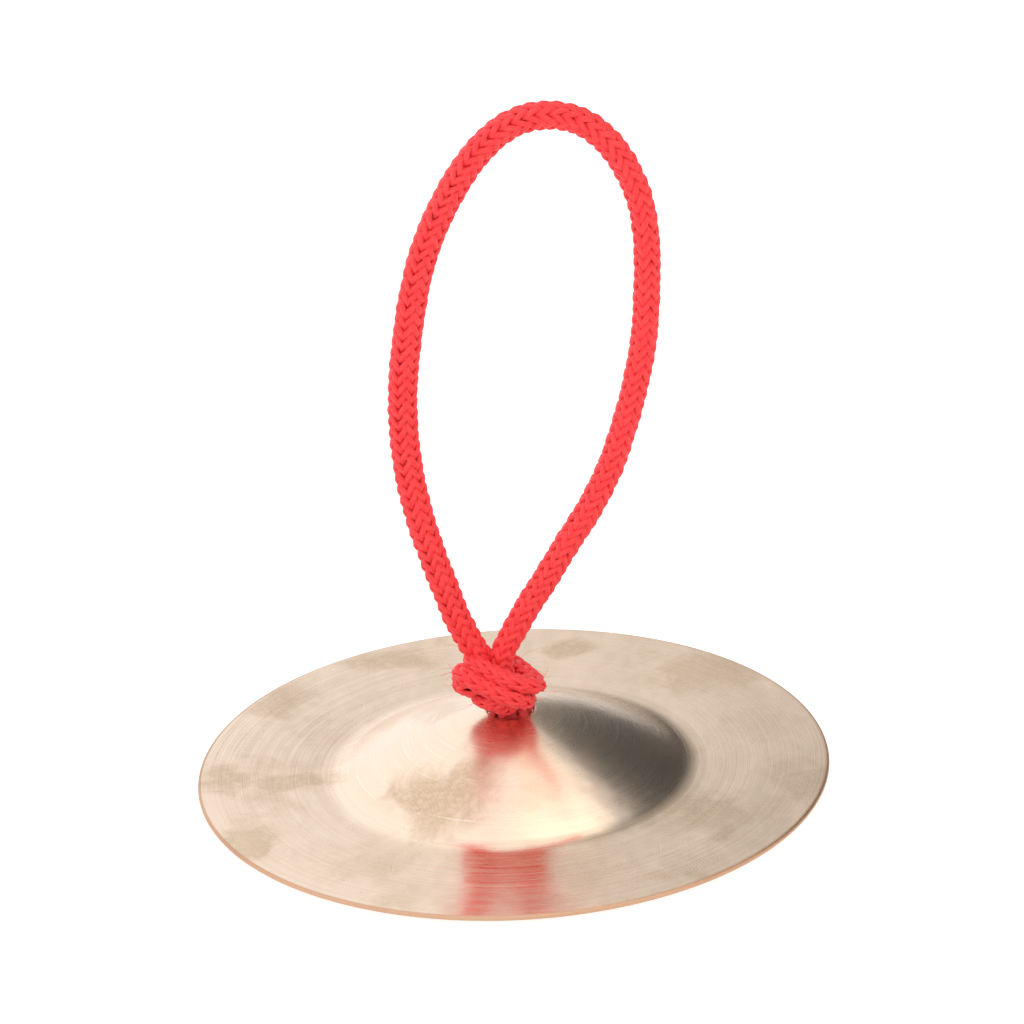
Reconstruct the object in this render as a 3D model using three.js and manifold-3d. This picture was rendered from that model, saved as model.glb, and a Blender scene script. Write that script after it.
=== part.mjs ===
// A finger cymbal: a thin spun bronze plate with a raised bell, and a knitted cord whose loop is the handle.
// Millimetres, +Z up. The origin is on the plate's axis, level with the ring that the plate rests on.
import * as THREE from 'three';
import Module from 'manifold-3d';
import { mergeVertices } from 'three/addons/utils/BufferGeometryUtils.js';

const wasm = await Module();
wasm.setup();

// Plate
const RIM_RADIUS = 45;
const WALL = 0.7;
const REST_RING_OUTER = 27.6;      // the flat ring under the bell's foot ends here
const RIM_LIFT = 0.5;              // the flange turns up by this much from the ring to the rim
const EDGE_ROUND = 0.15;
const BELL_FOOT_RADIUS = 25.6;
const BELL_SHOULDER_RADIUS = 24.4;
const BELL_SHOULDER_HEIGHT = 1.0;
const FOOT_FILLET_HEIGHT = 0.1;    // how far the fillet has risen halfway from the foot to the shoulder
const BELL_SLANT = 1.07;           // the bell's wall measured straight down, as a share of the wall
const BORE_RADIUS = 3.2;
const BELL_TOP = 9.8;
const BELL_TOP_SLOPE = 0.24;       // fall per millimetre of radius beside the bore
const BELL_RADII = [BORE_RADIUS, 6, 9, 12, 15, 18, 20.5, 22.6, BELL_SHOULDER_RADIUS];
const PLATE_SIDES = 72;

// Cord
const CORD_RADIUS = 2;
const CORD_SIDES = 10;
const LOOP_STEPS = 40;
const TOUCH_GAP = 0.3;             // kept between solids that touch on the real object
const FOLD_CLEARANCE = 0.4;        // between the upper knot and the handle's ball ends
const SLIDE_PLAY = 0.8;            // how far the cord slides up before the lower knot meets the bell
const FOLD_HEIGHT = 19.8;          // the handle bends over about this height
const NECK_RADIUS = 2.75;
const NECK_HEIGHT = 1.3;
const NECK_SIDES = 20;
const BALL_SIDES = 12;
const BALL_RINGS = 8;

// Knots, as barrels: shares of the radius and of the height, from the bottom up
const BARREL_SHARES = [
  [0, 0], [0.62, 0], [0.9, 0.18], [1, 0.45], [0.96, 0.7], [0.8, 0.92], [0.55, 1], [0, 1],
];
const BARREL_SIDES = 24;
const UPPER_KNOT_RADIUS = 6.2;
const UPPER_KNOT_SHIFT = -1.6;     // the upper knot sits a little left of the bore
const LOWER_KNOT_RADIUS = 5.4;
const LOWER_KNOT_BOTTOM = 1;

// Cut ends
const TAIL_RADIUS = 1.7;
const TAIL_SIDES = 8;
const TAIL_STEPS = 4;
const TIP_LENGTH = 1.6;
const TIP_SIDES = 12;
const TAIL_REACH = 11;             // how far the cut ends stand out from the axis
const TAIL_HEIGHT = 2;
const TAIL_DROP = 0.3;             // the cord leaves the knot this much higher than it ends
const RIGHT_TAIL_TURN = -0.35;
const LEFT_TAIL_TURN = Math.PI + 0.3;

// Centre line of the handle: up from the knot's left, over the top and down its right.
const HANDLE_ROUTE = [
  [-4.8, 0, FOLD_HEIGHT], [-6.7, 0.1, 24], [-8.3, 0.3, 29], [-9.8, 0.5, 34], [-11.1, 0.7, 39],
  [-12.1, 0.9, 44.5], [-12.65, 1, 50], [-12.7, 1, 55.5], [-12.3, 0.9, 61], [-11.45, 0.7, 66.5],
  [-10.3, 0.4, 72.5], [-8.6, 0.1, 78.5], [-6, -0.2, 84.5], [-2.7, -0.4, 90], [0.9, -0.5, 94.2],
  [4.9, -0.6, 96.8], [9.2, -0.7, 97.5], [13.4, -0.8, 96.4], [17, -0.9, 93.3], [19.7, -1, 88.7],
  [21.2, -1, 83.5], [21.6, -1, 78], [21.4, -0.9, 72], [20.75, -0.8, 65], [19.4, -0.7, 58.5],
  [17.7, -0.6, 52.5], [15.6, -0.5, 46.5], [12.7, -0.4, 40.7], [9.3, -0.3, 35.3], [6.1, -0.2, 30.1],
  [2.8, -0.1, 24.9], [0.15, 0, FOLD_HEIGHT],
];

const bronze = { color: 0xd9bd92, roughness: 0.32, metalness: 1 };
const redYarn = { color: 0xd8262a, roughness: 0.9, metalness: 0 };
const meltedYarn = { color: 0x8c1518, roughness: 0.35, metalness: 0 };

function named(name, geometry, finish) {
  const mesh = new THREE.Mesh(geometry, new THREE.MeshStandardMaterial(finish));
  mesh.name = name;
  return mesh;
}

// Turns a closed outline of [radius, height] pairs about the Z axis.
function turned(outline, sides) {
  const points = outline.map(([radius, height]) => new THREE.Vector2(radius, height));
  return new THREE.LatheGeometry(points, sides).rotateX(Math.PI / 2);
}

function bellOutside(radius) {
  const out = radius - BORE_RADIUS;
  const span = BELL_SHOULDER_RADIUS - BORE_RADIUS;
  const curve = (BELL_TOP - BELL_SHOULDER_HEIGHT - BELL_TOP_SLOPE * span) / (span * span);
  return BELL_TOP - BELL_TOP_SLOPE * out - curve * out * out;
}

// The plate's outline: up the rim's edge, in over the top to the bore, then back out along the underside.
function plateOutline() {
  const overBell = BELL_RADII.map((radius) => [radius, bellOutside(radius)]);
  const underBell = overBell.map(([radius, height]) => [radius, height - WALL * BELL_SLANT]);
  const middle = (BELL_SHOULDER_RADIUS + BELL_FOOT_RADIUS) / 2;
  const topSide = [
    [RIM_RADIUS, RIM_LIFT + EDGE_ROUND],
    [RIM_RADIUS, RIM_LIFT + WALL - EDGE_ROUND],
    [RIM_RADIUS - EDGE_ROUND, RIM_LIFT + WALL],
    [REST_RING_OUTER, WALL],
    [BELL_FOOT_RADIUS, WALL],
    [middle, WALL + FOOT_FILLET_HEIGHT],
    ...overBell.reverse(),
  ];
  const underside = [
    ...underBell,
    [middle, FOOT_FILLET_HEIGHT],
    [BELL_FOOT_RADIUS, 0],
    [REST_RING_OUTER, 0],
    [RIM_RADIUS - EDGE_ROUND, RIM_LIFT],
  ];
  const outline = [...topSide, ...underside];
  return [...outline, outline[0]];
}

// A knot's plain barrel, with rounded shoulders.
function barrel(radius, bottom, top) {
  const outline = BARREL_SHARES.map(([out, up]) => [radius * out, bottom + (top - bottom) * up]);
  return turned(outline, BARREL_SIDES);
}

function tube(points, radius, sides, steps) {
  const section = new THREE.Shape();
  for (let i = 0; i < sides; i += 1) {
    const angle = (2 * Math.PI * i) / sides;
    const place = [radius * Math.cos(angle), radius * Math.sin(angle)];
    if (i === 0) section.moveTo(...place);
    else section.lineTo(...place);
  }
  const extrudePath = new THREE.CatmullRomCurve3(points.map((point) => new THREE.Vector3(...point)));
  return new THREE.ExtrudeGeometry(section, { steps, extrudePath, bevelEnabled: false });
}

function solid(geometry) {
  const bare = geometry.clone();
  bare.deleteAttribute('normal');
  bare.deleteAttribute('uv');
  const merged = mergeVertices(bare, 1e-4);
  return new wasm.Manifold(new wasm.Mesh({
    numProp: 3,
    vertProperties: new Float32Array(merged.attributes.position.array),
    triVerts: new Uint32Array(merged.index.array),
  }));
}

function fromSolid(body) {
  const mesh = body.getMesh();
  const geometry = new THREE.BufferGeometry();
  geometry.setAttribute('position', new THREE.BufferAttribute(mesh.vertProperties, 3));
  geometry.setIndex(new THREE.BufferAttribute(mesh.triVerts, 1));
  geometry.computeVertexNormals();
  return geometry;
}

// The handle has a ball end on each side, centred on the line that it folds about.
function handleLoop() {
  const ball = new THREE.SphereGeometry(CORD_RADIUS, BALL_SIDES, BALL_RINGS);
  const first = HANDLE_ROUTE[0];
  const last = HANDLE_ROUTE[HANDLE_ROUTE.length - 1];
  const loop = solid(tube(HANDLE_ROUTE, CORD_RADIUS, CORD_SIDES, LOOP_STEPS))
    .add(solid(ball.clone().translate(...first)))
    .add(solid(ball.clone().translate(...last)));
  return fromSolid(loop);
}

// One cut end, lying out from the lower knot, and the melted tip that stops it unravelling.
function tail(side, turn, start) {
  const out = TAIL_REACH - TIP_LENGTH - TOUCH_GAP;
  const route = [
    [start, 0, TAIL_HEIGHT + TAIL_DROP],
    [(start + out) / 2, TAIL_DROP, TAIL_HEIGHT + TAIL_DROP / 3],
    [out, 0, TAIL_HEIGHT],
  ];
  const end = tube(route, TAIL_RADIUS, TAIL_SIDES, TAIL_STEPS);
  const tip = new THREE.CylinderGeometry(TAIL_RADIUS * 0.62, TAIL_RADIUS * 0.95, TIP_LENGTH, TIP_SIDES);
  tip.rotateZ(-Math.PI / 2).translate(TAIL_REACH - TIP_LENGTH / 2, 0, TAIL_HEIGHT);
  const group = new THREE.Group();
  group.add(named(`cord_end_${side}`, end, redYarn), named(`sealed_tip_${side}`, tip, meltedYarn));
  group.rotation.z = turn;
  return group;
}

const cymbal = new THREE.Group();
cymbal.add(named('cymbal_plate', turned(plateOutline(), PLATE_SIDES), bronze));
cymbal.add(named('handle_loop', handleLoop(), redYarn));

const upperKnotTop = FOLD_HEIGHT - CORD_RADIUS - FOLD_CLEARANCE;
const upperKnot = barrel(UPPER_KNOT_RADIUS, BELL_TOP + TOUCH_GAP, upperKnotTop);
cymbal.add(named('upper_knot', upperKnot.translate(UPPER_KNOT_SHIFT, 0, 0), redYarn));

const neck = new THREE.CylinderGeometry(NECK_RADIUS, NECK_RADIUS, NECK_HEIGHT, NECK_SIDES);
neck.rotateX(Math.PI / 2).translate(0, 0, BELL_TOP - NECK_HEIGHT / 2);
cymbal.add(named('cord_neck', neck, redYarn));

const lowerKnotTop = BELL_TOP - NECK_HEIGHT - SLIDE_PLAY - TOUCH_GAP;
const lowerKnot = barrel(LOWER_KNOT_RADIUS, LOWER_KNOT_BOTTOM, lowerKnotTop);
cymbal.add(named('lower_knot', lowerKnot, redYarn));
cymbal.add(tail('right', RIGHT_TAIL_TURN, LOWER_KNOT_RADIUS + TOUCH_GAP));
cymbal.add(tail('left', LEFT_TAIL_TURN, LOWER_KNOT_RADIUS + TOUCH_GAP));

export default cymbal;
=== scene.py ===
"""A finger cymbal: a spun bronze plate held by a knotted loop of knitted red cord."""
import math

import bpy
import numpy as np
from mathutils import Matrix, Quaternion, Vector


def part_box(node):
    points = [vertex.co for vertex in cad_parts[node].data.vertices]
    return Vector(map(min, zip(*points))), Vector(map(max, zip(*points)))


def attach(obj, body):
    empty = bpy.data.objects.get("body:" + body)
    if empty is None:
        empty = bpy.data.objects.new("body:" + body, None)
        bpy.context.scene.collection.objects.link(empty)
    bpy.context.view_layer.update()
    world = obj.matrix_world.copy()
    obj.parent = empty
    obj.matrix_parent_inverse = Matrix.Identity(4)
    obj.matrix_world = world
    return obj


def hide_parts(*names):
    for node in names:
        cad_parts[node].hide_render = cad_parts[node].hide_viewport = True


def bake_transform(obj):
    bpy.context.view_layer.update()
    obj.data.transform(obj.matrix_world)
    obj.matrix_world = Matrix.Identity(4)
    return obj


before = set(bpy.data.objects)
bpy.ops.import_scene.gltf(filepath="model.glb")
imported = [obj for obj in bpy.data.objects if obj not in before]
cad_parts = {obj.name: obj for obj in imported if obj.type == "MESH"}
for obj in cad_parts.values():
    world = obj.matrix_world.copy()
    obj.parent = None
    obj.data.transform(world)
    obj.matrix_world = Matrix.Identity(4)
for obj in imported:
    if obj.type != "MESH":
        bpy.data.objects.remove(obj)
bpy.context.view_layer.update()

MM = 0.001
rng = np.random.default_rng(7)

_, plate_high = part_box("cymbal_plate")
RIM_RADIUS = plate_high.x
BELL_TOP = plate_high.z


# ---------------------------------------------------------------- camera

def make_camera():
    """The photograph's view: a long lens, looking down by about 23 degrees, rolled a little."""
    elevation, roll, distance = math.radians(23.32), math.radians(-2.89), 0.550
    target = Vector((1.64, 0, 40.06)) * MM
    camera = bpy.data.objects.new("camera", bpy.data.cameras.new("camera"))
    bpy.context.scene.collection.objects.link(camera)
    camera.data.lens = 139.25
    camera.data.sensor_width = 36
    camera.data.clip_start = 0.01
    back = Vector((0, -math.cos(elevation), math.sin(elevation)))
    camera.location = target + distance * back
    camera.rotation_mode = "QUATERNION"
    camera.rotation_quaternion = Quaternion(back, roll) @ back.to_track_quat("Z", "Y")
    bpy.context.scene.camera = camera


make_camera()


# ---------------------------------------------------------------- paths

def smooth_path(points, spacing):
    """A smooth line through the points, in even steps: a centripetal Catmull-Rom curve."""
    p = np.asarray(points, float)
    p = np.vstack([2 * p[0] - p[1], p, 2 * p[-1] - p[-2]])
    line = []
    for a, b, c, d in zip(p[:-3], p[1:-2], p[2:-1], p[3:]):
        t1 = np.linalg.norm(b - a) ** 0.5
        t2 = t1 + np.linalg.norm(c - b) ** 0.5
        t3 = t2 + np.linalg.norm(d - c) ** 0.5
        t = np.linspace(t1, t2, 24, endpoint=False)[:, None]
        a1 = (t1 - t) / t1 * a + t / t1 * b
        a2 = (t2 - t) / (t2 - t1) * b + (t - t1) / (t2 - t1) * c
        a3 = (t3 - t) / (t3 - t2) * c + (t - t2) / (t3 - t2) * d
        b1 = (t2 - t) / t2 * a1 + t / t2 * a2
        b2 = (t3 - t) / (t3 - t1) * a2 + (t - t1) / (t3 - t1) * a3
        line.append((t2 - t) / (t2 - t1) * b1 + (t - t1) / (t2 - t1) * b2)
    return even_steps(np.vstack([*line, p[-2:-1]]), spacing)


def arc_length(line):
    return np.r_[0, np.cumsum(np.linalg.norm(np.diff(line, axis=0), axis=1))]


def even_steps(line, spacing=None, count=None):
    s = arc_length(line)
    if count is None:
        count = max(2, int(round(s[-1] / spacing)) + 1)
    at = np.linspace(0, s[-1], count)
    return np.column_stack([np.interp(at, s, line[:, k]) for k in range(3)])


def carried_frames(line, first_normal):
    """Tangents and two normals along a line, carried without twist."""
    tangent = np.gradient(line, axis=0)
    tangent /= np.linalg.norm(tangent, axis=1)[:, None]
    normal = np.zeros_like(tangent)
    last = np.asarray(first_normal, float)
    for i, t in enumerate(tangent):
        last = last - t * (last @ t)
        last = last / np.linalg.norm(last)
        normal[i] = last
    return tangent, normal, np.cross(tangent, normal)


# ---------------------------------------------------------------- the knot

def loose_knot(strand_gap, scale):
    """Two side-by-side strands in a loose overhand knot along Z: a long trefoil and its copy.

    Also gives the direction from one strand to the other at each end."""
    t = np.linspace(-2.12, 2.12, 500)
    line = np.column_stack([t**3 - 3 * t, -(t**4 - 4 * t**2) + 2, -(t**5 - 10 * t) * 0.45]) * scale
    line = even_steps(line, count=300)
    _, _, side = carried_frames(line, np.cross(line[1] - line[0], (0, 1, 0.1)))
    pair = [line - side * strand_gap / 2, line + side * strand_gap / 2]
    middle = line[:, 1].mean()
    for strand in pair:
        strand[:, 1] -= middle
    return pair, side[0], side[-1]


def tighten(pair, first_side, last_side, thickness, half_height, steps=1000, count=150):
    """Pulls the two strands' ends apart until the knot is tight, in millimetres.

    Each step smooths the strands, keeps their length, pushes apart what is closer than a
    thickness, and presses what stands outside the core into a slab of the given half height."""
    reach, slack, core = 22, 17, 2.3
    place = np.vstack([even_steps(strand, count=count) for strand in pair])
    first_length = arc_length(pair[0])[-1]
    last_length = 2 * reach + slack
    link = np.r_[np.arange(count - 1), np.arange(count, 2 * count - 1)]
    inner = np.r_[np.arange(1, count - 1), np.arange(count + 1, 2 * count - 1)]
    strand_of = np.repeat([0, 1], count)
    i_all, j_all = np.triu_indices(2 * count, 1)
    near = int(np.ceil(thickness * 1.3 / (last_length / (count - 1))))
    far = ~((strand_of[i_all] == strand_of[j_all]) & (j_all - i_all <= near))
    i_all, j_all = i_all[far], j_all[far]
    held = [0, count, count - 1, 2 * count - 1]
    held_from = place[held].copy()
    up = np.array((0, 0, reach))
    held_to = np.array([
        up - 1.5 * first_side, up + 1.5 * first_side, -up - 1.5 * last_side, -up + 1.5 * last_side,
    ])
    for k in range(steps):
        done = min(1, k / (steps * 0.6))
        length = (first_length * (1 - done) + last_length * done) / (count - 1)
        apart = thickness * min(1, 0.3 + 0.7 * k / (steps * 0.25))
        pulled = min(1, k / (steps * 0.3))
        place[inner] += 0.2 * ((place[inner - 1] + place[inner + 1]) / 2 - place[inner])
        ends = held_from * (1 - pulled) + held_to * pulled
        for _ in range(8):
            place[held] = ends
            for part in (link[::2], link[1::2]):
                v = place[part + 1] - place[part]
                size = np.linalg.norm(v, axis=1)[:, None]
                move = v / size * (size - length) * 0.5
                place[part] += move
                place[part + 1] -= move
        for _ in range(2):
            v = place[j_all] - place[i_all]
            square = (v * v).sum(1)
            hit = square < apart * apart
            i, j = i_all[hit], j_all[hit]
            size = np.sqrt(square[hit])[:, None] + 1e-9
            move = v[hit] / size * (apart - size) * 0.22
            np.add.at(place, i, -move)
            np.add.at(place, j, move)
        if k > steps * 0.45:
            over = (np.hypot(place[:, 0], place[:, 1]) > core) & (np.abs(place[:, 2]) > half_height)
            place[over, 2] -= np.sign(place[over, 2]) * (np.abs(place[over, 2]) - half_height) * 0.3
        place[held] = ends
    return place[:count], place[count:]


def turn_z(line, angle):
    c, s = math.cos(angle), math.sin(angle)
    return line @ np.array([[c, s, 0], [-s, c, 0], [0, 0, 1]])


# Distance between touching strands while the knot is tightened, and the cord's width in the knot (mm).
KNOT_THICKNESS = 2.9
KNOT_CORD = 3.8
KNOT_TURN = math.radians(102)
KNOT_TILT = math.radians(17)
KNOT_PRESS = (1.04, 0.96, 0.68)
UPPER_MIDDLE = (0.25, 0, 14.0)
LOWER_TURN = KNOT_TURN + 2.2
LOWER_PRESS = (0.88, 0.84, 0.52)
LOWER_TILT = 0.04
LOWER_MIDDLE = (0, 0, 4.6)


def set_down(points, turn, press, tilt, middle):
    """A tight knot, turned about its length, pressed flat, tipped over and put in its place."""
    points = turn_z(points, turn) * press
    c, s = math.cos(tilt), math.sin(tilt)
    return points @ np.array([[c, 0, -s], [0, 1, 0], [s, 0, c]]) + middle


def place_upper(points):
    return set_down(points, KNOT_TURN, KNOT_PRESS, KNOT_TILT, UPPER_MIDDLE)


def place_lower(points):
    """The knot below the plate: smaller, the other way round, and level."""
    return set_down(points, LOWER_TURN, LOWER_PRESS, LOWER_TILT, LOWER_MIDDLE)


LOOSE_GAP = 2.4
LOOSE_SCALE = 4.5
SLAB_HALF_HEIGHT = 3.4
tight_a, tight_b = tighten(*loose_knot(LOOSE_GAP, LOOSE_SCALE), KNOT_THICKNESS, SLAB_HALF_HEIGHT)

# The handle's centre line (mm): up from the knot's left, over the top and down its right.
HANDLE_ROUTE = [
    (-4.8, 0, 19.8), (-6.7, 0.1, 24), (-8.3, 0.3, 29), (-9.8, 0.5, 34), (-11.1, 0.7, 39),
    (-12.1, 0.9, 44.5), (-12.65, 1, 50), (-12.7, 1, 55.5), (-12.3, 0.9, 61), (-11.45, 0.7, 66.5),
    (-10.3, 0.4, 72.5), (-8.6, 0.1, 78.5), (-6, -0.2, 84.5), (-2.7, -0.4, 90), (0.9, -0.5, 94.2),
    (4.9, -0.6, 96.8), (9.2, -0.7, 97.5), (13.4, -0.8, 96.4), (17, -0.9, 93.3), (19.7, -1, 88.7),
    (21.2, -1, 83.5), (21.6, -1, 78), (21.4, -0.9, 72), (20.75, -0.8, 65), (19.4, -0.7, 58.5),
    (17.7, -0.6, 52.5), (15.6, -0.5, 46.5), (12.7, -0.4, 40.7), (9.3, -0.3, 35.3), (6.1, -0.2, 30.1),
    (2.8, -0.1, 24.9), (0.15, 0, 19.8),
]

# Where its two ends go on inside the knot.
LEFT_ROOT = [(-3.6, 0.2, 17.7), (-2.75, 0.3, 16.1), (-2.2, 0.5, 14.9), (-1.8, 0.7, 13.7)]
RIGHT_ROOT = [(-0.95, -0.5, 17.7), (-0.8, -0.95, 16.1), (-0.6, -1.1, 14.9), (-0.3, -1.0, 13.7)]
loop_line = smooth_path([*LEFT_ROOT[::-1], *HANDLE_ROUTE[:-1], *RIGHT_ROOT], 0.25)


# ---------------------------------------------------------------- knitting

def mesh_object(name, vertices, faces):
    mesh = bpy.data.meshes.new(name)
    mesh.from_pydata([], [], [])
    vertices = np.asarray(vertices, np.float32)
    faces = np.asarray(faces, np.int32)
    sides = faces.shape[1]
    mesh.vertices.add(len(vertices))
    mesh.vertices.foreach_set("co", vertices.ravel())
    mesh.loops.add(faces.size)
    mesh.loops.foreach_set("vertex_index", faces.ravel())
    mesh.polygons.add(len(faces))
    mesh.polygons.foreach_set("loop_start", np.arange(0, faces.size, sides, dtype=np.int32))
    mesh.polygons.foreach_set("use_smooth", np.full(len(faces), True))
    mesh.update(calc_edges=True)
    mesh.validate()
    piece = bpy.data.objects.new(name, mesh)
    bpy.context.scene.collection.objects.link(piece)
    return piece


WALES = 5
COURSE = 1.67
YARN_TWIST = 0.5


def knit(name, line, width, depth, facing, yarn=0.42, place=None, samples=16, sides=8):
    """A knitted tube about a line (mm), with its stitches opening along the line.

    width and depth are the tube's outer diameters, as functions of the share of its length; width
    lies across the direction that it faces. place moves the finished tube's points."""
    reach, lean, sink = 0.85, 0.33, 0.62
    tangent, normal, side = carried_frames(line, np.cross(line[1] - line[0], facing))
    s_line = arc_length(line)
    total = s_line[-1]
    courses = int(total / COURSE - 2 * reach)
    pitch = total / (courses + 2 * reach)
    count = courses * WALES * samples
    t = np.arange(count + 1) / samples
    stitch = np.floor(t).astype(int)
    wobble = rng.normal(0, 1, (courses * WALES + 2, 4))
    soft = wobble[stitch] * (1 - (t % 1))[:, None] + wobble[stitch + 1] * (t % 1)[:, None]
    phase = 2 * math.pi * t
    around = (t + lean * np.sin(2 * phase)) / WALES * 2 * math.pi + soft[:, 0] * 0.03
    along = pitch * (t / WALES + reach - reach * np.cos(phase) + soft[:, 1] * 0.04)
    along = np.clip(along, 0, total)
    share = along / total
    inward = sink * (-0.5 - 0.5 * np.cos(2 * phase) - 0.3 * np.cos(phase)) + soft[:, 2] * 0.025
    half_w = width(share) / 2 - yarn + inward
    half_d = depth(share) / 2 - yarn + inward

    def at(array):
        return np.column_stack([np.interp(along, s_line, array[:, k]) for k in range(3)])

    n, b, centre = at(normal), at(side), at(line)
    radial = np.cos(around)[:, None] * n * half_w[:, None] + np.sin(around)[:, None] * b * half_d[:, None]
    yarn_line = centre + radial
    forward = np.gradient(yarn_line, axis=0)
    forward /= np.linalg.norm(forward, axis=1)[:, None]
    outward = np.cos(around)[:, None] * n + np.sin(around)[:, None] * b
    outward -= forward * (outward * forward).sum(1)[:, None]
    outward /= np.linalg.norm(outward, axis=1)[:, None]
    across = np.cross(forward, outward)
    ring = 2 * math.pi * np.arange(sides) / sides
    thick = yarn * (1 + 0.06 * soft[:, 3])
    shape = (
        outward[:, None, :] * np.cos(ring)[None, :, None] * 0.92
        + across[:, None, :] * np.sin(ring)[None, :, None] * 1.08
    ) * thick[:, None, None]
    vertices = (yarn_line[:, None, :] + shape).reshape(-1, 3)
    if place:
        vertices = place(vertices)
    piece = mesh_object(name, vertices * MM, tube_faces(count + 1, sides))
    run = arc_length(yarn_line)[:, None]
    twist = ring[None] + run * YARN_TWIST
    # How far each point lies below the outside of the knit: the yarn's colour darkens with it as painted
    # shade in the crevices.
    inset = -inward[:, None] + thick[:, None] * (1 - np.cos(ring)[None])
    mark_yarn(piece, run + 0 * twist, np.cos(twist), np.sin(twist), inset)
    return piece


def mark_yarn(piece, run, across, deep, inset):
    """Stores where each point lies: millimetres along its yarn, its place in the yarn's section,
    and how far it is below the outside of the knit, which the yarn's colour turns into painted shade."""
    place = np.stack([run, across, deep], axis=-1).astype(np.float32)
    piece.data.attributes.new("yarn", "FLOAT_VECTOR", "POINT").data.foreach_set("vector", place.ravel())
    inset = np.asarray(inset, np.float32)
    piece.data.attributes.new("inset", "FLOAT", "POINT").data.foreach_set("value", inset.ravel())


def tube_faces(rings, sides):
    """Quads between rings. The two open ends are closed by flat fans of quads."""
    i = np.arange(rings - 1)[:, None] * sides
    k = np.arange(sides)[None, :]
    k2 = (k + 1) % sides
    quads = np.stack([i + k, i + k2, i + sides + k2, i + sides + k], axis=2).reshape(-1, 4)
    caps = []
    for base, flip in ((0, True), ((rings - 1) * sides, False)):
        for a in range(1, sides - 2, 2):
            cap = [base, base + a, base + a + 1, base + a + 2]
            caps.append(cap[::-1] if flip else cap)
    return np.vstack([quads, np.array(caps)])


def constant(value):
    return lambda share: np.full_like(share, value)


def profile(*pairs):
    at, values = zip(*pairs)
    return lambda share: np.interp(share, at, values)


VIEWER = (0, -1, 0)
handle = knit(
    "knitted_handle", loop_line,
    profile((0, 3.7), (0.06, 4.2), (0.2, 4.45), (0.45, 4.15), (0.6, 3.95), (0.9, 3.9), (1, 3.7)),
    profile((0, 3.4), (0.06, 3.7), (0.5, 3.9), (0.9, 4.0), (1, 3.4)),
    VIEWER,
)


def knot_part(tight, place, top, bottom):
    """The stretch of a tight strand that lies between two heights once it is placed."""
    z = place(tight)[:, 2]
    start = np.argmax(z < top)
    stop = len(z) - np.argmax(z[::-1] > bottom)
    return even_steps(tight[start:stop], 0.25)


def knot_strand(name, tight, place, top, bottom, cord, **more):
    line = knot_part(tight, place, top, bottom)
    return knit(name, line, constant(cord), constant(cord), (1, 0.2, 0.3), place=place, **more)


# The top and bottom of the strands' visible stretch in each knot (mm).
UPPER_SPAN = (15.2, 10.1)
LOWER_SPAN = (6.2, 2.6)
TIGHT = (("a", tight_a), ("b", tight_b))
upper_strands = [
    knot_strand("upper_knot_strand_" + side, tight, place_upper, *UPPER_SPAN, KNOT_CORD)
    for side, tight in TIGHT
]

LIGHT_KNIT = {"samples": 12, "sides": 6}
lower_strands = [
    knot_strand("lower_knot_strand_" + side, tight, place_lower, *LOWER_SPAN, KNOT_CORD, **LIGHT_KNIT)
    for side, tight in TIGHT
]

# The neck swells over the bore's lip and is squeezed inside the bore.
NECK_TOP, NECK_BOTTOM = 12.1, 5.4
NECK_OFFSET = 1.5
NECK_WIDTH = profile((0, 3.6), (0.3, 4.6), (0.36, 4.4), (0.385, 3.05), (1, 3.05))
NECK_DEPTH = profile((0, 5.4), (0.3, 7.0), (0.36, 6.8), (0.385, 4.7), (1, 4.7))
neck_strands = [
    knit(
        "neck_strand_" + side,
        np.column_stack([np.full(25, x), np.zeros(25), np.linspace(NECK_TOP, NECK_BOTTOM, 25)]),
        NECK_WIDTH, NECK_DEPTH, VIEWER, yarn=0.55, **LIGHT_KNIT,
    )
    for side, x in (("left", -NECK_OFFSET), ("right", NECK_OFFSET))
]


def neck_core():
    """Yarn packed between the two strands in the bore."""
    rings, sides = 12, 24
    z = np.linspace(11.6, 5.8, rings)[:, None]
    a = np.arange(sides)[None] / sides * 2 * math.pi
    rib = 1 + 0.03 * np.sin(6 * a + z * 1.9)
    points = np.stack([2.35 * np.cos(a) * rib, 1.75 * np.sin(a) * rib, z + 0 * a], axis=2).reshape(-1, 3)
    piece = mesh_object("neck_core", points * MM, tube_faces(rings, sides))
    spread = (a + 0 * z).ravel()
    # Every point is set 0.8 mm deep, so the yarn colour gives the whole core painted shade.
    mark_yarn(piece, points[:, 2], np.cos(spread), np.sin(spread), np.full(len(points), 0.8))
    return piece


neck_strands.append(neck_core())


def tail_line(turn, reach):
    """A cord end's line: out of the knot's foot and level over the floor."""
    out = np.array((math.cos(turn), math.sin(turn), 0))
    side = np.array((-out[1], out[0], 0))
    steps = [(2.2, 0, 3.4), (4.2, 0.2, 2.6), (6.2, 0.3, 2.05), (8.4, 0.1, 1.95), (reach, -0.25, 1.95)]
    return smooth_path([a * out + b * side + (0, 0, z) for a, b, z in steps], 0.2)


RIGHT_TURN, LEFT_TURN = -0.35, math.pi + 0.3
TAIL_REACH = 9.6
TAIL_CORD = 3.3
tail_lines = [tail_line(turn, TAIL_REACH) for turn in (RIGHT_TURN, LEFT_TURN)]
tails = [
    knit("cord_tail_" + side, line, constant(TAIL_CORD), constant(TAIL_CORD), VIEWER, **LIGHT_KNIT)
    for side, line in zip(("right", "left"), tail_lines)
]


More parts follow.
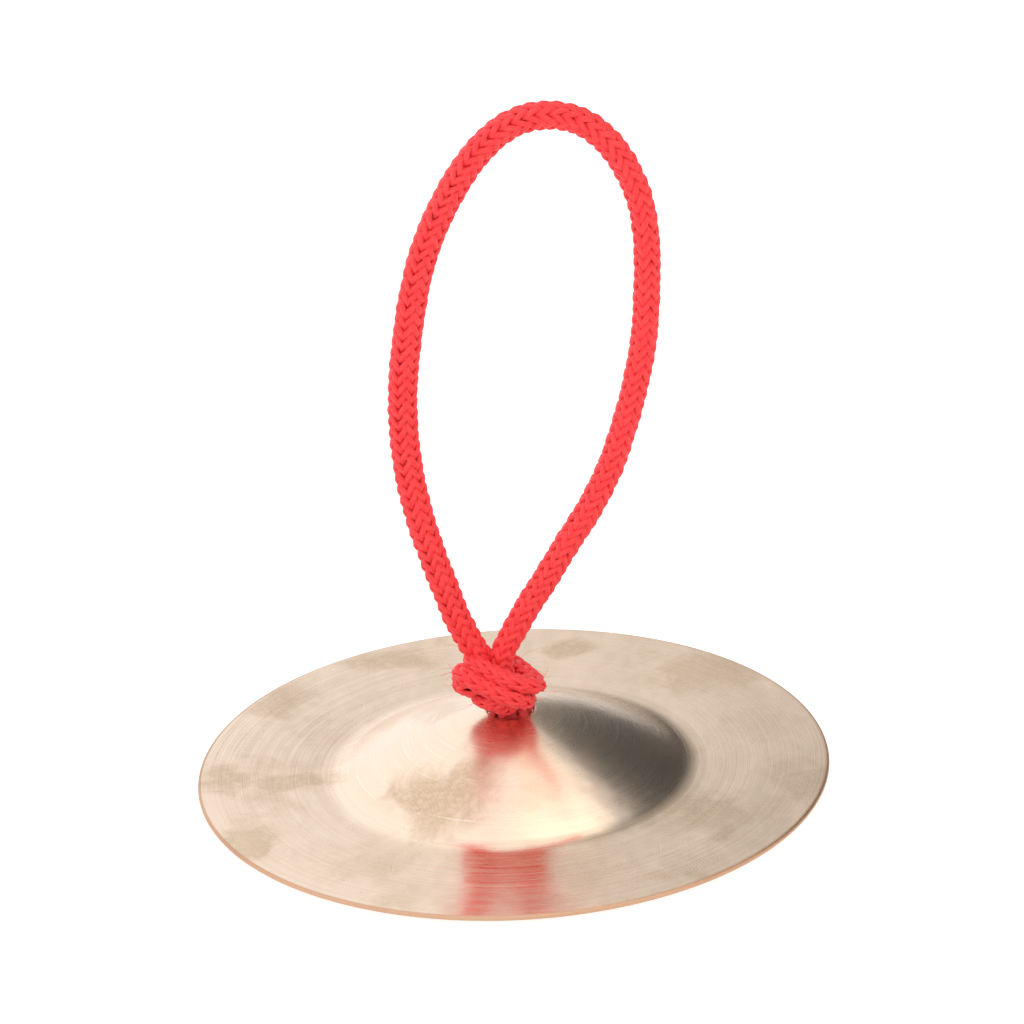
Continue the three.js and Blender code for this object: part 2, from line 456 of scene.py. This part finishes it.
def fibres(name, roots, outward, lengths, thickness=0.028, steps=7):
    """Stray fibres: hair-thin curved tubes standing off the yarn, as one mesh."""
    vertices, faces, start = [], [], 0
    for root, out, length in zip(roots, outward, lengths):
        heading = out + rng.normal(0, 0.45, 3)
        heading /= np.linalg.norm(heading)
        bend = rng.normal(0, 1.0, 3) / length
        line = [root - heading * 0.25]
        for _ in range(steps):
            line.append(line[-1] + heading * length / steps)
            heading = heading + bend * length / steps * 0.9 + rng.normal(0, 0.06, 3)
            heading /= np.linalg.norm(heading)
        line = np.array(line)
        _, n, b = carried_frames(line, (0.3, 0.5, 0.8))
        ring = np.arange(4) / 4 * 2 * math.pi
        size = thickness * np.linspace(1, 0.5, steps + 1)[:, None, None]
        round_it = np.cos(ring)[None, :, None] * n[:, None] + np.sin(ring)[None, :, None] * b[:, None]
        tube = line[:, None] + size * round_it
        vertices.append(tube.reshape(-1, 3))
        faces.append(tube_faces(steps + 1, 4) + start)
        start += 4 * (steps + 1)
    piece = mesh_object(name, np.vstack(vertices) * MM, np.vstack(faces))
    count = len(piece.data.vertices)
    mark_yarn(piece, np.zeros(count), np.full(count, 0.7), np.full(count, 0.7), np.zeros(count))
    return piece


def knot_fibres():
    """Wisps around the upper knot, mostly at its left and right sides."""
    turns = np.r_[rng.normal(math.pi, 0.5, 12), rng.normal(0, 0.6, 8), rng.uniform(-math.pi, math.pi, 14)]
    out = np.column_stack([np.cos(turns), np.sin(turns), rng.normal(0.1, 0.35, len(turns))])
    surface = np.vstack([place_upper(tight_a), place_upper(tight_b)])
    surface = surface[(surface[:, 2] > 11) & (surface[:, 2] < 17.5)]
    roots = []
    for direction in out:
        flat = (surface - surface.mean(0)) @ direction
        near = np.argsort(flat)[-25:]
        roots.append(surface[rng.choice(near)] + direction * KNOT_CORD / 2 * 0.85)
    return fibres("knot_wisps", np.array(roots), out, rng.uniform(1.2, 4.0, len(turns)))


def handle_fibres():
    """Short fuzz along the handle above the fold."""
    count = 150
    picks = rng.uniform(0.09, 0.91, count) * (len(loop_line) - 1)
    centre = loop_line[picks.astype(int)]
    tangent = np.gradient(loop_line, axis=0)[picks.astype(int)]
    out = rng.normal(0, 1, (count, 3))
    out -= tangent * (out * tangent).sum(1)[:, None] / (tangent * tangent).sum(1)[:, None]
    out /= np.linalg.norm(out, axis=1)[:, None]
    return fibres("handle_fuzz", centre + out * 1.85, out, rng.uniform(0.4, 1.2, count), 0.02)


wisps, fuzz = knot_fibres(), handle_fibres()


def melted_tip(name, line):
    """A lumpy bead of melted cord closing a cord's end."""
    start, out = line[-4], line[-1] - line[-4]
    out = out / np.linalg.norm(out)
    side = np.cross((0, 0, 1), out)
    up = np.cross(out, side)
    u, v = 28, 40
    a = np.linspace(0, math.pi, u)[:, None]
    b = np.arange(v)[None] / v * 2 * math.pi
    lump = 1 + 0.07 * np.sin(3 * b + 2 * a) * np.sin(a) + 0.05 * np.cos(5 * b - 3 * a) * np.sin(a)
    along = 1.05 - 1.05 * np.cos(a) * (1 + 0.06 * np.sin(2 * b))
    wide = 1.66 * np.sin(a) ** 0.6 * lump
    points = (
        start + along[..., None] * out
        + (wide * np.cos(b))[..., None] * side
        + (wide * np.sin(b))[..., None] * up
    )
    return mesh_object(name, points.reshape(-1, 3) * MM, tube_faces(u, v))


tips = [melted_tip("melted_tip_" + side, line) for side, line in zip(("right", "left"), tail_lines)]


# ---------------------------------------------------------------- plate

def plate_outline():
    """The plate's section, from the bore's edge over the top to the rim and back underneath."""
    wall, lift, ring, foot, shoulder = 0.7, 0.5, 27.6, 25.6, 24.4
    bore, top, slope, shoulder_height = 3.2, BELL_TOP / MM, 0.24, 1.0
    rim, lip = RIM_RADIUS / MM, 0.35
    curve = (top - shoulder_height - slope * (shoulder - bore)) / (shoulder - bore) ** 2

    def bell(r):
        return top - slope * (r - bore) - curve * (r - bore) ** 2

    def under(r):
        return lift * np.clip((r - ring) / (rim - ring), 0, 1)

    start = 23.6
    steep = slope + 2 * curve * (start - bore)
    meet = start + (bell(start) - wall) / steep
    p0, p1, p2 = np.array((start, bell(start))), np.array((meet, wall)), np.array((foot + 0.9, wall))
    u = np.linspace(0, 1, 13)[1:, None]
    fillet = (1 - u) ** 2 * p0 + 2 * u * (1 - u) * p1 + u * u * p2
    r_bell = np.linspace(bore + 0.25, start, 46)
    r_flange = np.linspace(foot + 1.2, rim - lip, 44)
    edge = np.linspace(math.pi / 2, -math.pi / 2, 11)[1:]
    r_under = np.linspace(rim - 0.8, foot, 24)
    r_hollow = np.linspace(shoulder, bore + 0.2, 30)
    return np.array([
        (bore, top - 0.3), (bore + 0.06, top - 0.1), *zip(r_bell, bell(r_bell)), *fillet,
        *zip(r_flange, wall + under(r_flange)),
        *((rim - lip + lip * math.cos(a), lift + wall / 2 * (1 + math.sin(a))) for a in edge),
        *zip(r_under, under(r_under)), (24.95, 0.12), *zip(r_hollow, bell(r_hollow) - wall * 1.07),
    ])


def spun_plate():
    outline = plate_outline()
    turns = 360
    angle = 2 * math.pi * np.arange(turns) / turns
    r, z = outline[:, 0][None], outline[:, 1][None]
    a = angle[:, None]
    grow = np.clip((r - 6) / 39, 0, 1)
    wave = grow * (
        0.025 * np.sin(2 * a + 0.6)
        + 0.018 * np.sin(3 * a + 2.1 + r * 0.09)
        + 0.010 * np.sin(7 * a + r * 0.35)
    )
    z = z + np.where(z > 0.05, wave, 0)
    vertices = np.stack([r * np.cos(a), r * np.sin(a), z + 0 * a], axis=2).reshape(-1, 3) * MM
    n = len(outline)
    i = np.arange(turns)[:, None] * n
    i2 = (np.arange(turns)[:, None] + 1) % turns * n
    k = np.arange(n)[None]
    k2 = (k + 1) % n
    faces = np.stack([i + k, i + k2, i2 + k2, i2 + k], axis=2).reshape(-1, 4)
    return mesh_object("spun_plate", vertices, faces)


plate = spun_plate()


# ---------------------------------------------------------------- materials

class Shade:
    """A short way to write a node tree: every method gives an output that the next one can take."""

    def __init__(self, tree):
        self.nodes, self.links = tree.nodes, tree.links

    def put(self, value, socket):
        if isinstance(value, bpy.types.NodeSocket):
            self.links.new(value, socket)
        else:
            socket.default_value = value

    def add(self, kind, inputs=(), **settings):
        node = self.nodes.new("ShaderNode" + kind)
        for name, value in settings.items():
            setattr(node, name, value)
        for name, value in dict(inputs).items():
            self.put(value, node.inputs[name])
        return node

    def math(self, operation, a, b=0.0, c=0.0):
        return self.add("Math", {0: a, 1: b, 2: c}, operation=operation).outputs[0]

    def total(self, *values):
        result = values[0]
        for value in values[1:]:
            result = self.math("ADD", result, value)
        return result

    def ramp(self, value, start, end, low=0.0, high=1.0):
        inputs = {"Value": value, "From Min": start, "From Max": end, "To Min": low, "To Max": high}
        return self.add("MapRange", inputs, interpolation_type="SMOOTHSTEP").outputs[0]

    def join(self, x, y, z):
        return self.add("CombineXYZ", {0: x, 1: y, 2: z}).outputs[0]

    def split(self, vector):
        return self.add("SeparateXYZ", {0: vector}).outputs

    def scaled(self, vector, size):
        return self.add("VectorMath", {0: vector, "Scale": size}, operation="SCALE").outputs[0]

    def noise(self, vector, scale, detail=2.0, roughness=0.5, distortion=0.0):
        inputs = {
            "Vector": vector, "Scale": scale, "Detail": detail,
            "Roughness": roughness, "Distortion": distortion,
        }
        return self.add("TexNoise", inputs).outputs[0]

    def mix(self, share, a, b):
        node = self.add("Mix", data_type="RGBA")
        self.put(share, node.inputs[0])
        self.put(a, node.inputs[6])
        self.put(b, node.inputs[7])
        return node.outputs[2]

    def bump(self, height, distance, strength=1.0):
        return self.add("Bump", {"Height": height, "Distance": distance, "Strength": strength}).outputs[0]


def new_material(name):
    made = bpy.data.materials.new(name)
    made.use_nodes = True
    return made, Shade(made.node_tree), made.node_tree.nodes["Principled BSDF"]


# Tarnished patches on the plate: middle x and y, half sizes (mm) and strength.
STAINS = [
    (-41, -1, 5, 5, 0.75), (-31, -2, 8, 4, 0.7), (-34, 24, 6, 6, 0.6), (-17, 37, 8, 4, 0.7),
    (9, 37, 5, 3, 0.8), (29, 27, 10, 7, 0.6), (-10, -15, 8, 7, 1.0), (26, -18, 8, 8, 0.6),
    (-37, -20, 5, 7, 0.8), (-20, -28, 8, 5, 0.4), (42, -10, 4, 7, 0.6), (36, 8, 5, 6, 0.3),
    (10, -33, 9, 5, 0.25), (-10, 6, 4, 5, 0.5), (-25, 12, 7, 5, 0.3), (3, -41, 7, 3, 0.3),
]
# Finger marks: middle x and y, half sizes (mm) and the direction of the ridges (radians).
PRINTS = [
    (-35, -7, 5, 4, 2.3), (-28, -23, 4.5, 4.5, 0.9), (-16, -26, 5, 5, 2.2), (24.5, -15, 4, 4.5, 1.1),
    (24, -32, 6, 4, 0.5), (-39, 9, 4, 5, 1.2), (33, 16, 5, 5, 2.0), (-12, -15, 5, 5, 0.4),
    (38, -12, 4, 5, 1.8),
]
RIDGE_PITCH = 0.47


def bronze():
    made, s, shader = new_material("bronze")
    place = s.scaled(s.add("TexCoord").outputs["Object"], 1000.0)
    x, y, z = s.split(place)
    radius = s.math("SQRT", s.total(s.math("MULTIPLY", x, x), s.math("MULTIPLY", y, y)))
    across = s.math("DIVIDE", x, radius)
    along = s.math("DIVIDE", y, radius)

    edge = s.ramp(radius, 44.45, 44.75)
    bell = s.ramp(radius, 23.5, 26.5, 1.0, 0.0)

    def rings(per_mm, around):
        lines = s.join(s.math("MULTIPLY", radius, per_mm), s.math("MULTIPLY", across, around),
                       s.math("MULTIPLY", along, around))
        return lines

    lathe = s.noise(rings(1.9, s.math("MULTIPLY_ADD", bell, -0.62, 0.9)), 1.0, 4.0, 0.65)
    fine = s.noise(rings(5.5, 2.2), 1.0, 2.0, 0.6)
    scratch = s.ramp(s.noise(rings(4.2, 1.3), 1.0, 1.0, 0.5), 0.66, 0.76)
    rubbed = s.join(s.math("MULTIPLY", x, 2.6), s.math("MULTIPLY", y, 0.16), 4.0)
    rub = s.ramp(s.noise(rubbed, 1.0, 1.0, 0.5), 0.72, 0.8)
    ragged = s.math("SUBTRACT", s.noise(place, 0.16, 4.0, 0.6, 0.6), 0.5)
    grain = s.noise(place, 1.3, 3.0, 0.65)

    def patch(cx, cy, wide, deep, ragged_by, start, end):
        dx = s.math("MULTIPLY", s.math("SUBTRACT", x, cx), 1 / wide)
        dy = s.math("MULTIPLY", s.math("SUBTRACT", y, cy), 1 / deep)
        off = s.math("SQRT", s.total(s.math("MULTIPLY", dx, dx), s.math("MULTIPLY", dy, dy)))
        return s.ramp(s.math("MULTIPLY_ADD", ragged, ragged_by, off), start, end, 1.0, 0.0)

    stain = s.ramp(s.noise(place, 0.07, 3.0, 0.6, 0.5), 0.5, 0.72, 0.0, 0.45)
    for cx, cy, wide, deep, strength in STAINS:
        here = s.math("MULTIPLY", patch(cx, cy, wide, deep, 2.4, 0.35, 1.25), strength)
        stain = s.math("MAXIMUM", stain, here)
    stain = s.math("MULTIPLY", stain, s.ramp(grain, 0.3, 0.62, 0.65, 1.0))

    printed = 0.0
    for cx, cy, wide, deep, turn in PRINTS:
        c, sn = math.cos(turn), math.sin(turn)
        u = s.math("MULTIPLY_ADD", x, c, s.math("MULTIPLY_ADD", y, sn, -cx * c - cy * sn + 5.5))
        v = s.math("MULTIPLY_ADD", x, -sn, s.math("MULTIPLY_ADD", y, c, cx * sn - cy * c))
        v_square = s.math("MULTIPLY", v, v)
        bow = s.math("SQRT", s.total(s.math("MULTIPLY", u, u), s.math("MULTIPLY", v_square, 0.5)))
        phase = s.math("MULTIPLY_ADD", ragged, 2.2, s.math("MULTIPLY", bow, 2 * math.pi / RIDGE_PITCH))
        ridge = s.ramp(s.math("SINE", phase), -0.2, 0.8)
        here = s.math("MULTIPLY", ridge, patch(cx, cy, wide, deep, 2.0, 0.3, 1.0))
        printed = s.math("MAXIMUM", printed, here)
    printed = s.math("MULTIPLY", printed, s.ramp(grain, 0.3, 0.55, 0.4, 1.0))

    pits = s.add("TexVoronoi", {"Vector": place, "Scale": 1.2, "Randomness": 1.0})
    rare = s.ramp(s.noise(place, 0.35, 1.0), 0.48, 0.58)
    speck = s.math("MULTIPLY", s.ramp(pits.outputs["Distance"], 0.05, 0.13, 1.0, 0.0), rare)
    colour = s.mix(s.math("MULTIPLY", stain, 0.9), (0.855, 0.675, 0.515, 1), (0.58, 0.41, 0.26, 1))
    colour = s.mix(s.ramp(lathe, 0.35, 0.7, 0.0, 0.16), colour, (0.68, 0.50, 0.34, 1))
    colour = s.mix(s.math("MULTIPLY", s.math("MULTIPLY", scratch, bell), 0.5), colour, (0.95, 0.86, 0.74, 1))
    colour = s.mix(s.math("MULTIPLY", printed, 0.20), colour, (0.50, 0.37, 0.24, 1))
    colour = s.mix(s.math("MULTIPLY", speck, 0.55), colour, (0.30, 0.13, 0.08, 1))
    colour = s.mix(s.math("MULTIPLY", edge, 0.85), colour, (0.62, 0.36, 0.22, 1))
    s.put(colour, shader.inputs["Base Color"])
    rough = s.total(
        0.165, s.math("MULTIPLY", stain, 0.07), s.math("MULTIPLY", printed, 0.08),
        s.math("MULTIPLY", s.ramp(lathe, 0.3, 0.7), s.math("MULTIPLY_ADD", bell, -0.075, 0.10)),
        s.math("MULTIPLY", scratch, s.math("MULTIPLY_ADD", bell, -0.1, 0.16)),
        s.math("MULTIPLY", edge, 0.3), s.math("MULTIPLY", bell, 0.095),
        s.math("MULTIPLY", s.ramp(fine, 0.4, 0.7), s.math("MULTIPLY_ADD", bell, -0.045, 0.06)),
    )
    s.put(rough, shader.inputs["Roughness"])
    shader.inputs["Metallic"].default_value = 1
    shader.inputs["Anisotropic"].default_value = 0.65
    shader.inputs["Anisotropic Rotation"].default_value = 0.25
    s.put(s.add("Tangent", direction_type="RADIAL", axis="Z").outputs[0], shader.inputs["Tangent"])
    softer = s.math("MULTIPLY_ADD", bell, -0.5, 0.85)
    lines = s.math("MULTIPLY", s.total(lathe, s.math("MULTIPLY", fine, 0.5)), softer)
    height = s.total(
        lines, s.math("MULTIPLY", scratch, -0.1), s.math("MULTIPLY", rub, -0.35),
        s.math("MULTIPLY", printed, 0.18), s.math("MULTIPLY", speck, -0.8),
        s.math("MULTIPLY", s.noise(place, 0.12, 2.0), 9.0),
    )
    s.put(s.bump(height, 0.000013), shader.inputs["Normal"])
    return made


def red_yarn(name, shade):
    """Fine filaments twisted into yarn. shade darkens the yarn as painted shade, for the neck's cord in
    shadow under the knot and in the bore.
    """
    made, s, shader = new_material(name)
    run, across, deep = s.split(s.add("Attribute", attribute_name="yarn").outputs["Vector"])
    inset = s.add("Attribute", attribute_name="inset").outputs["Fac"]
    strands = s.join(
        s.math("MULTIPLY", run, 0.5), s.math("MULTIPLY", across, 3.6), s.math("MULTIPLY", deep, 3.6),
    )
    filament = s.noise(strands, 1.0, 3.0, 0.7)
    batch = s.noise(s.join(s.math("MULTIPLY", run, 0.35), 0.0, 0.0), 1.0, 1.0)
    colour = s.mix(s.ramp(filament, 0.35, 0.65), (0.86, 0.022, 0.028, 1), (0.99, 0.066, 0.066, 1))
    colour = s.mix(s.ramp(batch, 0.35, 0.65, 0.0, 0.35), colour, (0.88, 0.022, 0.03, 1))
    # Painted shade: the yarn darkens towards deep red where it lies below the outside of the knit, in the
    # crevices between stitches.
    colour = s.mix(s.ramp(inset, 0.45, 1.25, 0.0, 0.8), colour, (0.50, 0.006, 0.012, 1))
    # Painted shade: shade darkens the whole yarn towards near black, for the neck in shadow under the knot
    # and in the bore.
    colour = s.mix(shade, colour, (0.20, 0.006, 0.008, 1))
    s.put(colour, shader.inputs["Base Color"])
    shader.inputs["Roughness"].default_value = 0.5
    shader.inputs["Specular IOR Level"].default_value = 0.4
    shader.inputs["Sheen Weight"].default_value = 0.08
    s.put(s.bump(filament, 0.00009), shader.inputs["Normal"])
    return made


def melted():
    made, s, shader = new_material("melted_cord")
    place = s.scaled(s.add("TexCoord").outputs["Object"], 1000.0)
    char = s.noise(place, 0.7, 4.0, 0.6)
    colour = s.mix(s.ramp(char, 0.35, 0.65), (0.34, 0.014, 0.014, 1), (0.09, 0.008, 0.007, 1))
    s.put(colour, shader.inputs["Base Color"])
    s.put(s.ramp(char, 0.3, 0.7, 0.25, 0.5), shader.inputs["Roughness"])
    s.put(s.bump(s.noise(place, 1.6, 3.0), 0.0002), shader.inputs["Normal"])
    return made


bronze_finish, tip_finish = bronze(), melted()
# The neck's yarn is a darker copy of the same yarn: painted shade for its shadow under the knot and in the
# bore.
yarn_finish, painted_shade_yarn_finish = red_yarn("red_yarn", 0.0), red_yarn("painted_shade_red_yarn", 0.4)
plate.data.materials.append(bronze_finish)
for piece in (handle, fuzz, wisps, *upper_strands, *lower_strands, *tails):
    piece.data.materials.append(yarn_finish)
for piece in neck_strands:
    piece.data.materials.append(painted_shade_yarn_finish)
for piece in tips:
    piece.data.materials.append(tip_finish)


# ---------------------------------------------------------------- light and floor

def studio_world():
    """An even white surround: brighter overhead, fading to the right, with a dark opening at the right."""
    world = bpy.data.worlds.new("studio")
    world.use_nodes = True
    s = Shade(world.node_tree)
    x, y, z = s.split(s.add("TexCoord").outputs["Generated"])
    azimuth = s.math("ARCTAN2", x, y)
    elevation = s.math("ARCSINE", z)
    deg = math.radians(1)
    right = s.ramp(azimuth, -7 * deg, 9 * deg)
    back = s.ramp(azimuth, 50 * deg, 80 * deg)
    wall = s.math("MAXIMUM", s.math("MULTIPLY_ADD", right, -0.9, 1.28), s.math("MULTIPLY", back, 1.05))
    leaning = s.math("MULTIPLY_ADD", elevation, -0.36, azimuth)
    far_side = s.ramp(azimuth, 60 * deg, 75 * deg, 1.0, 0.0)
    opening = s.math("MULTIPLY", s.ramp(leaning, 3 * deg, 10 * deg), far_side)
    opening = s.math("MULTIPLY", opening, s.ramp(elevation, 53 * deg, 64 * deg, 1.0, 0.0))
    wall = s.math("MULTIPLY", wall, s.math("MULTIPLY_ADD", opening, -0.82, 1.0))
    overhead = s.math("MULTIPLY", s.ramp(elevation, 48 * deg, 62 * deg), s.ramp(x, -0.08, 0.10))
    light = s.math("MULTIPLY_ADD", overhead, 1.05, wall)
    seen = s.add("LightPath").outputs["Is Camera Ray"]
    light = s.math("MAXIMUM", light, s.math("MULTIPLY", seen, 1.05))
    shader = world.node_tree.nodes["Background"]
    tint = s.mix(right, (0.98, 1.0, 1.05, 1), (1.0, 0.97, 0.93, 1))
    tint = s.mix(opening, tint, (0.9, 1.0, 1.14, 1))
    s.put(s.mix(seen, tint, (1, 1, 1, 1)), shader.inputs["Color"])
    s.put(light, shader.inputs["Strength"])
    return world


def make_stage():
    scene = bpy.context.scene
    scene.view_settings.view_transform = "Standard"
    scene.world = studio_world()
    mesh = bpy.data.meshes.new("floor")
    half = 3.0
    corners = [(-half, -half, 0), (half, -half, 0), (half, half, 0), (-half, half, 0)]
    mesh.from_pydata(corners, [], [(0, 1, 2, 3)])
    floor = bpy.data.objects.new("floor", mesh)
    scene.collection.objects.link(floor)
    made, s, shader = new_material("lit_paper_floor")
    shader.inputs["Base Color"].default_value = (0.45, 0.45, 0.45, 1)
    shader.inputs["Roughness"].default_value = 0.8
    shader.inputs["Emission Color"].default_value = (1, 1, 1, 1)
    shader.inputs["Emission Strength"].default_value = 0.72
    mesh.materials.append(made)


make_stage()

# ---------------------------------------------------------------- riding on the frame

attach(plate, "cymbal")
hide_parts("cymbal_plate")
for piece in (handle, fuzz):
    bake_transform(piece)
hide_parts("handle_loop")
for piece in (wisps, *upper_strands, *lower_strands, *tails, *tips):
    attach(piece, "cord_knots")
for piece in neck_strands:
    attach(piece, "cord_neck")
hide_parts("upper_knot")
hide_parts("lower_knot")
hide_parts("cord_neck")
END_NODES = ("cord_end_right", "cord_end_left", "sealed_tip_right", "sealed_tip_left")
for piece, node in zip((*tails, *tips), END_NODES):
    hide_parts(node)
